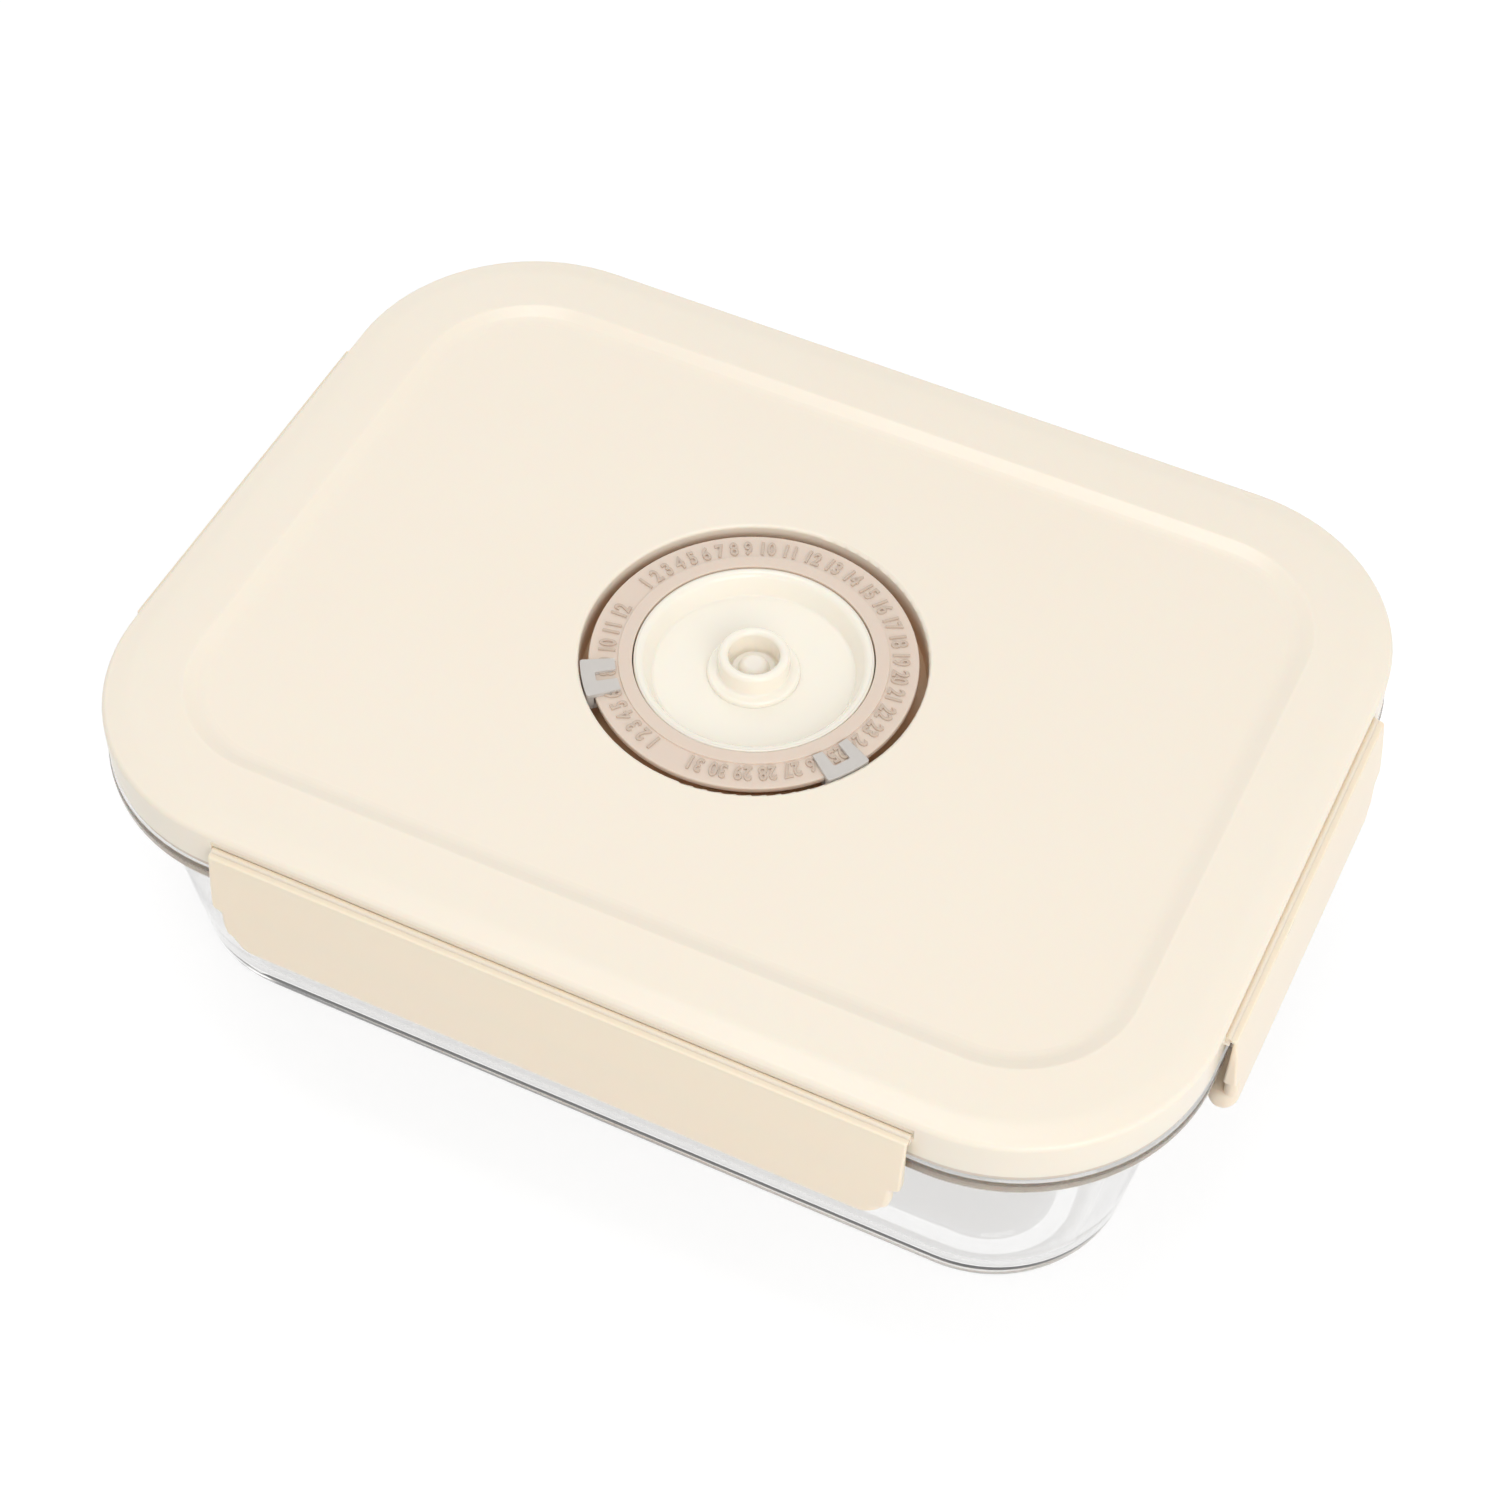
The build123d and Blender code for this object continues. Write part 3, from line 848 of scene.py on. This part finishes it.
@dataclass(frozen=True)
class DateRing:
    """The taupe ring with raised numbers: months down the left side, days round the rest."""

    sizes: CanisterSizes
    bore: float = 21.2
    outer: float = 28.8
    drop: float = 0.85
    plate: float = 1.6
    rim: float = 1.1
    band: float = 23.6
    band_rise: float = 0.35
    band_slope: float = 0.06
    leg_outer: float = 25.0
    leg_wall: float = 1.5
    depth: float = 7.2
    number_radius: float = 25.5
    number_height: float = 3.05
    number_width: float = 1.5
    number_rise: float = 0.36
    number_edge: float = 0.07
    number_gap_share: float = 1.06
    number_bold_share: float = 0.006
    number_edge_steps: int = 1
    number_curve_steps: int = 4
    one_digit_turn: float = 5.75
    two_digit_turn: float = 9.42
    first_day: float = 163.9
    first_month: float = 253.8
    day_count: int = 31
    month_count: int = 12
    # Corner radii of the section, from the bore's foot over the band and the rim to the leg.
    rounds: tuple[float, ...] = (0.1, 0.12, 0.1, 0.05, 0.3, 0.2, 0.2, 0.1, 0.1, 0.2)

    def places(self, first: float, count: int) -> list[tuple[str, float]]:
        """Gives each number and its angle, clockwise. The gap between two is the mean of their steps.

        Args:
            first: Angle of number 1, in degrees.
            count: How many numbers there are.

        Returns:
            Pairs of text and angle in degrees.
        """
        value = np.arange(1, count + 1)
        step = np.where(value < 10, self.one_digit_turn, self.two_digit_turn)
        gap = (step[:-1] + step[1:]) / 2
        angle = first - np.concatenate([[0], np.cumsum(gap)])
        return [(str(v), float(a)) for v, a in zip(value, angle)]

    def raised_text(self, text: str) -> bpy.types.Mesh:
        """Makes raised text in the built-in font, flat about the origin and not yet narrowed.

        Args:
            text: The text.

        Returns:
            Its mesh.
        """
        curve = bpy.data.curves.new("number", "FONT")
        curve.body = text
        curve.align_x = "CENTER"
        curve.align_y = "CENTER"
        curve.size = self.number_height * MM
        curve.offset = self.number_bold_share * self.number_height * MM
        curve.extrude = self.number_rise * MM - self.number_edge * MM
        curve.bevel_depth = self.number_edge * MM
        curve.bevel_resolution = self.number_edge_steps
        curve.resolution_u = self.number_curve_steps
        curve.space_character = self.number_gap_share
        text_object = bpy.data.objects.new("number", curve)
        bpy.context.scene.collection.objects.link(text_object)
        bpy.context.view_layer.update()
        mesh = bpy.data.meshes.new_from_object(text_object)
        bpy.data.objects.remove(text_object)
        return mesh

    def number_scale(self) -> Matrix:
        """Gives the scale that brings the font's 8 to the ring's digit width and height.

        Returns:
            A diagonal matrix.
        """
        mesh = self.raised_text("8")
        places = np.empty(len(mesh.vertices) * 3)
        mesh.vertices.foreach_get("co", places)
        width, height, _ = np.ptp(places.reshape(-1, 3), axis=0)
        return Matrix.Diagonal((self.number_width * MM / width, self.number_height * MM / height, 1, 1))

    def number(self, text: str, angle: float, scale: Matrix) -> bpy.types.Mesh:
        """Makes one raised number that faces up, with its top outwards.

        Args:
            text: The number.
            angle: Its place on the ring, in degrees.
            scale: The scale of its digits.

        Returns:
            Its mesh, in place.
        """
        mesh = self.raised_text(text)
        up = self.sizes.panel_top - self.drop * MM
        out = Matrix.Translation((0, self.number_radius * MM, up))
        mesh.transform(Matrix.Rotation(math.radians(angle - 90), 4, "Z") @ out @ scale)
        return mesh

    def build(self, finish: bpy.types.Material, number_finish: bpy.types.Material) -> None:
        """Builds the ring and its numbers.

        Args:
            finish: The ring's plastic.
            number_finish: The polished plastic of the numbers.
        """
        top = self.sizes.panel_top / MM - self.drop
        band = top + self.band_rise
        under = top - self.plate
        foot = self.sizes.panel_top / MM - self.depth
        leg = self.leg_outer - self.leg_wall
        corners = ((self.bore, under), (self.bore, band), (self.band, band),
                   (self.band + self.band_slope, top), (self.outer, top), (self.outer, top - self.rim),
                   (self.leg_outer, under), (self.leg_outer, foot), (leg, foot), (leg, under))
        line = profile(corners, self.rounds, closed=True)
        skin = Surface(RoundPath().carry(line), wrap_rows=True, wrap_columns=True)
        settle(make_piece("numbered_ring", [skin], finish), "lid", "taupe_plastic", "date_ring")
        work = bmesh.new()
        scale = self.number_scale()
        days = self.places(self.first_day, self.day_count)
        months = self.places(self.first_month, self.month_count)
        for text, angle in days + months:
            work.from_mesh(self.number(text, angle, scale))
        mesh = bpy.data.meshes.new("ring_numbers")
        work.to_mesh(mesh)
        work.free()
        settle(finish_mesh("ring_numbers", mesh, number_finish), "lid", "taupe_plastic")


@dataclass(frozen=True)
class DateClip:
    """A frosted clip over the ring's rim: a plate with a reading window, a leg and a hook, in millimetres."""

    sizes: CanisterSizes
    node: str
    angle: float
    window: float
    inner: float = 24.2
    outer: float = 30.25
    half_in: float = 3.5
    half_out: float = 4.2
    bar: float = 2.4
    drop: float = 0.8
    leg: float = 29.1
    hook: float = 26.4
    hook_top: float = 2.75
    hook_bottom: float = 3.55
    edge_round: float = 0.22
    overlap: float = 0.1
    corner_round: float = 0.45
    window_round: float = 0.3
    rim_points: int = 13
    bevel_steps: int = 3
    bevel_angle: float = 50.0

    def outline(self, inner: float, notch: bool) -> Array:
        """Gives the plan of the plate, the leg or the hook: a ring sector, with or without the window.

        Args:
            inner: Its inner radius.
            notch: Whether the window is cut into it.

        Returns:
            Outline points in millimetres, with the clip pointing along +X.
        """
        slope = (self.half_out - self.half_in) / (self.outer - self.inner)
        width = self.half_in + (inner - self.inner) * slope
        reach_out = math.sqrt(self.outer ** 2 - self.half_out ** 2)
        reach_in = math.sqrt(inner ** 2 - width ** 2)
        turn = np.linspace(-1, 1, self.rim_points) * math.asin(self.half_out / self.outer)
        rim = np.stack([self.outer * np.cos(turn), self.outer * np.sin(turn)], axis=1)
        half = self.window / 2
        corner = self.corner_round
        rim = rim[np.abs(rim[:, 1]) < self.half_out - corner]
        start = np.array([[reach_in, -width], [reach_out, -self.half_out]])
        end = np.array([[reach_out, self.half_out], [reach_in, width]])
        low = rounded_line(np.concatenate([start, rim[:1]]), np.array([0, corner, 0]))
        high = rounded_line(np.concatenate([rim[-1:], end]), np.array([0, corner, 0]))
        plan = np.concatenate([low, rim[1:-1], high])
        if notch:
            mouth = math.sqrt(inner ** 2 - half ** 2)
            deep = self.outer - self.bar
            cut = np.array([[mouth, half], [deep, half], [deep, -half], [mouth, -half]])
            plan = np.concatenate([plan, rounded_line(cut, np.array([0, 1, 1, 0]) * self.window_round)])
        return plan

    def prism(self, plan: Array, low: float, high: float) -> tuple[Array, list[list[int]]]:
        """Gives an upright prism, turned to the clip's angle.

        Args:
            plan: Its outline.
            low: Its depth below the panel at the bottom.
            high: Its depth below the panel at the top.

        Returns:
            Its points and its faces.
        """
        turn = math.radians(self.angle)
        rotate = np.array([[math.cos(turn), -math.sin(turn)], [math.sin(turn), math.cos(turn)]])
        count = len(plan)
        flat = np.tile(plan @ rotate.T, (2, 1)) * MM
        height = self.sizes.panel_top - np.repeat([low, high], count) * MM
        index = np.arange(count)
        after = np.roll(index, -1)
        sides = np.stack([index, after, after + count, index + count], axis=1)
        faces = [index[::-1].tolist(), (index + count).tolist(), *sides.tolist()]
        return np.column_stack([flat, height]), faces

    def build(self, finish: bpy.types.Material) -> None:
        """Builds the clip with rounded edges.

        Args:
            finish: The frosted plastic.
        """
        work = bmesh.new()
        for plan, low, high in ((self.outline(self.inner, True), self.drop, 0),
                                (self.outline(self.leg, False), self.hook_bottom, self.drop - self.overlap),
                                (self.outline(self.hook, False), self.hook_bottom, self.hook_top)):
            points, faces = self.prism(plan, low, high)
            mesh = bpy.data.meshes.new("prism")
            mesh.from_pydata(points.tolist(), [], faces)
            work.from_mesh(mesh)
        mesh = bpy.data.meshes.new(self.node + "_clip")
        work.to_mesh(mesh)
        work.free()
        piece = finish_mesh(self.node + "_clip", mesh, finish)
        bevel = piece.modifiers.new("edge", "BEVEL")
        bevel.width = self.edge_round * MM
        bevel.segments = self.bevel_steps
        bevel.limit_method = "ANGLE"
        bevel.angle_limit = math.radians(self.bevel_angle)
        settle(piece, self.node, "frosted_plastic", self.node)


@dataclass(frozen=True)
class AirValve:
    """The dish, the nozzle and the domed silicone plug in the middle of the dial, in millimetres."""

    sizes: CanisterSizes
    cup_radius: float = 21.0
    cup_lip: float = 1.4
    cup_drop: float = 0.6
    cup_foot: float = 1.8
    floor_radius: float = 17.8
    floor_depth: float = 4.6
    floor_wall: float = 1.6
    stem_radius: float = 8.6
    stem_bore: float = 6.1
    stem_length: float = 5.6
    well_depth: float = 7.2
    nozzle_radius: float = 6.3
    nozzle_bore: float = 4.5
    nozzle_rise: float = 0.7
    collar_radius: float = 8.2
    collar_height: float = 1.1
    spigot_length: float = 2.9
    spigot_gap: float = 0.1
    seat_depth: float = 4.2
    seat_wall: float = 1.2
    seat_hole: float = 1.3
    plug_radius: float = 3.9
    plug_disc: float = 0.7
    dome_radius: float = 2.8
    dome_top_share: float = 0.78
    dome_depth: float = 1.8
    plug_stem: float = 1.15
    bulb_radius: float = 1.7
    bulb_height: float = 1.6
    bulb_drop: float = 2.35
    # Corner radii of each section, in the order of its corners.
    cup_rounds: tuple[float, ...] = (0.1, 0.5, 1.6, 0.45, 0.2, 0.2, 0.3, 0.2, 0.4, 0.2)
    nozzle_rounds: tuple[float, ...] = (0.1, 0.4, 0.88, 0.88, 0.6, 0.55, 0, 0, 0.3, 0.3, 0.2, 0.1)
    plug_rounds: tuple[float, ...] = (0, 0.3, 0.25, 0.1, 0.1, 0.1, 0.25, 0.3, 1.6, 0)

    def build(self, dish: bpy.types.Material, silicone: bpy.types.Material) -> None:
        """Builds the three pieces.

        Args:
            dish: The polished plastic.
            silicone: The white silicone.
        """
        top = self.sizes.panel_top / MM
        lip = top - self.cup_drop
        floor = top - self.floor_depth
        under = floor - self.floor_wall
        inside = self.cup_radius - self.cup_lip
        foot = self.cup_radius - self.cup_foot
        cup_low = top - self.well_depth
        stem_low = under - self.stem_length
        cup = ((self.stem_bore, floor), (self.floor_radius, floor), (inside, lip), (self.cup_radius, lip),
               (self.cup_radius, cup_low), (foot, cup_low), (foot, under), (self.stem_radius, under),
               (self.stem_radius, stem_low), (self.stem_bore, stem_low))
        seat = top - self.seat_depth
        seat_low = seat - self.seat_wall
        collar = floor + self.collar_height
        spigot = self.stem_bore - self.spigot_gap
        spigot_low = floor - self.spigot_length
        rim = top + self.nozzle_rise
        nozzle = ((self.seat_hole, seat), (self.nozzle_bore, seat), (self.nozzle_bore, rim),
                  (self.nozzle_radius, rim), (self.nozzle_radius, collar), (self.collar_radius, collar),
                  (self.collar_radius, floor), (spigot, floor), (spigot, spigot_low),
                  (self.nozzle_bore, spigot_low), (self.nozzle_bore, seat_low), (self.seat_hole, seat_low))
        disc = seat + self.plug_disc
        bulb = seat - self.bulb_drop
        bulb_low = bulb - self.bulb_height
        dome = top - self.dome_depth
        plug = ((0, bulb_low), (self.plug_stem, bulb_low), (self.bulb_radius, bulb), (self.plug_stem, bulb),
                (self.plug_stem, seat), (self.plug_radius, seat), (self.plug_radius, disc),
                (self.dome_radius, disc), (self.dome_radius * self.dome_top_share, dome), (0, dome))
        for name, line, closed, finish, body, slot, node in (
                ("plug_dome", profile(plug, self.plug_rounds), False, silicone, "valve_plug",
                 "white_silicone", "valve_plug"),
                ("pump_dish", profile(cup, self.cup_rounds, closed=True), True, dish, "lid",
                 "cream_gloss", "valve_cup"),
                ("pump_nozzle", profile(nozzle, self.nozzle_rounds, closed=True), True, dish, "lid",
                 "cream_gloss", "valve_nozzle")):
            skin = Surface(RoundPath().carry(line), wrap_rows=True, wrap_columns=closed)
            settle(make_piece(name, [skin], finish), body, slot, node)


@dataclass(frozen=True)
class Studio:
    """White table, white surround, an even sky, three soft lamps and a strip of light overhead."""

    floor_half: float = 3.0
    floor_points: int = 9
    table_shade: float = 0.8
    seen_shade: float = 0.34
    seen_white: float = 0.76
    through_shade: float = 0.5
    through_white: float = 0.56
    sky: float = 0.62
    aim_height: float = 50 * MM
    key_power: float = 4.1
    key_size: float = 0.7
    key_place: tuple[float, float, float] = (0.67, -0.67, 0.71)
    fill_power: float = 1.0
    fill_size: float = 0.9
    fill_place: tuple[float, float, float] = (-0.7, 0.5, 0.7)
    side_power: float = 0.6
    side_size: float = 0.4
    side_place: tuple[float, float, float] = (0.95, -0.05, 0.22)
    strip_power: float = 1.3
    strip_length: float = 0.5
    strip_width: float = 0.2
    strip_place: tuple[float, float, float] = (-0.07, -0.02, 1.0)

    def by_ray(self, tree: bpy.types.NodeTree, plain: bpy.types.NodeSocket, seen: bpy.types.NodeSocket,
               through: bpy.types.NodeSocket) -> bpy.types.NodeSocket:
        """Chooses a shader by the kind of ray that meets it.

        Args:
            tree: The node tree to add to.
            plain: The shader for light that only bounces.
            seen: The shader seen straight or in a gloss.
            through: The shader seen through glass.

        Returns:
            The chosen shader's socket.
        """
        path = add_node(tree, "ShaderNodeLightPath").outputs
        straight = add_node(tree, "ShaderNodeMath", operation="MAXIMUM",
                            links={0: path["Is Camera Ray"], 1: path["Is Glossy Ray"]})
        near = add_node(tree, "ShaderNodeMixShader", links={0: straight.outputs[0], 1: plain, 2: seen})
        return add_node(tree, "ShaderNodeMixShader",
                        links={0: path["Is Transmission Ray"], 1: near.outputs[0], 2: through}).outputs[0]

    def build_world(self) -> None:
        """Makes the even sky, which is white wherever it is seen, also off gloss and through glass."""
        world = bpy.data.worlds.new("studio")
        bpy.context.scene.world = world
        world.use_nodes = True
        tree = world.node_tree
        tree.nodes.clear()
        light, white = (add_node(tree, "ShaderNodeBackground",
                                 {"Color": linear_colour("FFFFFF"), "Strength": strength}).outputs[0]
                        for strength in (self.sky, 1.0))
        add_node(tree, "ShaderNodeOutputWorld", links={"Surface": self.by_ray(tree, light, white, white)})

    def table_look(self, tree: bpy.types.NodeTree, shade: float, white: float) -> bpy.types.NodeSocket:
        """Gives a table that keeps a part of its shading and is white for the rest.

        Args:
            tree: The node tree to add to.
            shade: Reflectance of the shaded part.
            white: Strength of the white part.

        Returns:
            The shader's socket.
        """
        matt = add_node(tree, "ShaderNodeBsdfDiffuse", {"Color": (shade, shade, shade, 1)})
        if not white:
            return matt.outputs[0]
        glow = add_node(tree, "ShaderNodeEmission", {"Color": linear_colour("FFFFFF"), "Strength": white})
        both = add_node(tree, "ShaderNodeAddShader", links={0: matt.outputs[0], 1: glow.outputs[0]})
        return both.outputs[0]

    def build_floor(self) -> None:
        """Makes the table: white where it is seen, greyer through the glass, with the shadow on it."""
        material, tree = new_material("matt white table")
        look = self.by_ray(tree, self.table_look(tree, self.table_shade, 0),
                           self.table_look(tree, self.seen_shade, self.seen_white),
                           self.table_look(tree, self.through_shade, self.through_white))
        add_node(tree, "ShaderNodeOutputMaterial", links={"Surface": look})
        line = np.linspace(-self.floor_half, self.floor_half, self.floor_points)
        x, y = np.meshgrid(line, line, indexing="ij")
        floor = make_piece("table", [Surface(np.dstack([x, y, np.zeros_like(x)]))], material)

    def add_lamp(self, name: str, place: tuple[float, float, float], size: float, power: float) -> None:
        """Adds a square soft lamp that faces the middle of the lid.

        Args:
            name: The lamp's name.
            place: Where it stands.
            size: Its side.
            power: Its power in watts.
        """
        light = bpy.data.lights.new(name, "AREA")
        light.size = size
        light.energy = power
        lamp = bpy.data.objects.new(name, light)
        aim = Vector((0, 0, self.aim_height)) - Vector(place)
        lamp.matrix_world = Matrix.Translation(place) @ aim.to_track_quat("-Z", "Y").to_matrix().to_4x4()
        bpy.context.scene.collection.objects.link(lamp)

    def add_strip(self) -> None:
        """Adds the overhead strip, long along X, which draws the bright lines on the lid's back slope."""
        light = bpy.data.lights.new("strip", "AREA")
        light.shape = "RECTANGLE"
        light.size = self.strip_length
        light.size_y = self.strip_width
        light.energy = self.strip_power
        lamp = bpy.data.objects.new("strip", light)
        lamp.location = self.strip_place
        bpy.context.scene.collection.objects.link(lamp)

    def build(self) -> None:
        """Builds the studio."""
        self.build_world()
        self.build_floor()
        self.add_lamp("key", self.key_place, self.key_size, self.key_power)
        self.add_lamp("fill", self.fill_place, self.fill_size, self.fill_power)
        self.add_lamp("side", self.side_place, self.side_size, self.side_power)
        self.add_strip()


@dataclass(frozen=True)
class PhotoCamera:
    """The photograph's viewpoint, fitted to the lid's sides and the dial, for a square of 1500 pixels."""

    image: float = 1500.0
    focal_pixels: float = 3184.5
    sensor: float = 36.0
    yaw: float = -24.807
    pitch: float = 51.251
    roll: float = 1.111
    distance: float = 552.8 * MM
    right: float = -0.70 * MM
    down: float = 16.47 * MM
    near_clip: float = 10 * MM

    def build(self, target: Vector) -> None:
        """Makes the camera and sets it as the scene's.

        Args:
            target: The dial's middle on the panel.
        """
        yaw, pitch, roll = (math.radians(a) for a in (self.yaw, self.pitch, self.roll))
        forward = Vector((math.sin(yaw) * math.cos(pitch), math.cos(yaw) * math.cos(pitch), -math.sin(pitch)))
        level = Vector((math.cos(yaw), -math.sin(yaw), 0))
        upright = level.cross(forward)
        right = math.cos(roll) * level + math.sin(roll) * upright
        up = math.cos(roll) * upright - math.sin(roll) * level
        place = target - forward * self.distance + right * self.right - up * self.down
        data = bpy.data.cameras.new("camera")
        data.sensor_width = self.sensor
        data.lens = self.focal_pixels * self.sensor / self.image
        data.clip_start = self.near_clip
        camera = bpy.data.objects.new("camera", data)
        axes = Matrix((right, up, -forward)).transposed().to_4x4()
        camera.matrix_world = Matrix.Translation(place) @ axes
        bpy.context.scene.collection.objects.link(camera)
        bpy.context.scene.camera = camera


@dataclass(frozen=True)
class Canister:
    """The whole object, built in order. Lengths are in millimetres and angles in degrees."""

    nodes: dict
    finishes: Finishes
    sizes: CanisterSizes
    hinge_out: float = 0.3
    hinge_drop: float = 3.4
    month_angle: float = 216.2
    month_window: float = 2.0
    day_angle: float = -32.0
    day_window: float = 3.2

    def build_latches(self) -> None:
        """Builds the four latches."""
        height = self.sizes.panel_top / MM - self.hinge_drop
        out_x = self.sizes.path.half_x / MM + self.hinge_out
        out_y = self.sizes.path.half_y / MM + self.hinge_out
        long_latch = {"length": 126.8, "step_in": 1.4, "corner": 8.0}
        short_latch = {"length": 73.4, "step_in": 2.0, "corner": 1.8}
        for side, node, out, form in ((Side.FRONT, "front_latch", out_y, long_latch),
                                      (Side.BACK, "back_latch", out_y, long_latch),
                                      (Side.LEFT, "left_latch", out_x, short_latch),
                                      (Side.RIGHT, "right_latch", out_x, short_latch)):
            SnapLatch(side=side, node=node, out=out, hinge_height=height, **form).build(self.finishes.latch)

    def dress_nodes(self) -> None:
        """Gives the solid model's own pieces that stay their materials."""
        for name, finish in (("lid_shell", self.finishes.lid), ("valve_washer", self.finishes.plug),
                             ("valve_nut", self.finishes.lid)):
            for slot in self.nodes[name].material_slots:
                slot.link = "OBJECT"
                slot.material = finish
            LOG.info("%s: %s in %d slots", name, finish.name, len(self.nodes[name].material_slots))

    def build(self) -> None:
        """Builds every piece."""
        kit = self.finishes
        GlassBox(self.sizes).build(kit.glass)
        PerimeterSeal(self.sizes).build(kit.seal)
        self.build_latches()
        DateRing(self.sizes).build(kit.ring, kit.number)
        DateClip(self.sizes, "month_marker", self.month_angle, self.month_window).build(kit.marker)
        DateClip(self.sizes, "day_marker", self.day_angle, self.day_window).build(kit.marker)
        AirValve(self.sizes).build(kit.dish, kit.plug)
        self.dress_nodes()


def main() -> None:
    """Builds the canister, the studio and the camera."""
    logging.basicConfig(level=logging.INFO, format="%(name)s %(message)s")
    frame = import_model()
    bpy.context.scene.view_settings.view_transform = "Standard"
    sizes = CanisterSizes.read()
    Canister(frame["nodes"], Finishes.build(), sizes).build()
    Studio().build()
    PhotoCamera().build(Vector((0, 0, sizes.panel_top)))


if __name__ == "__main__":
    main()
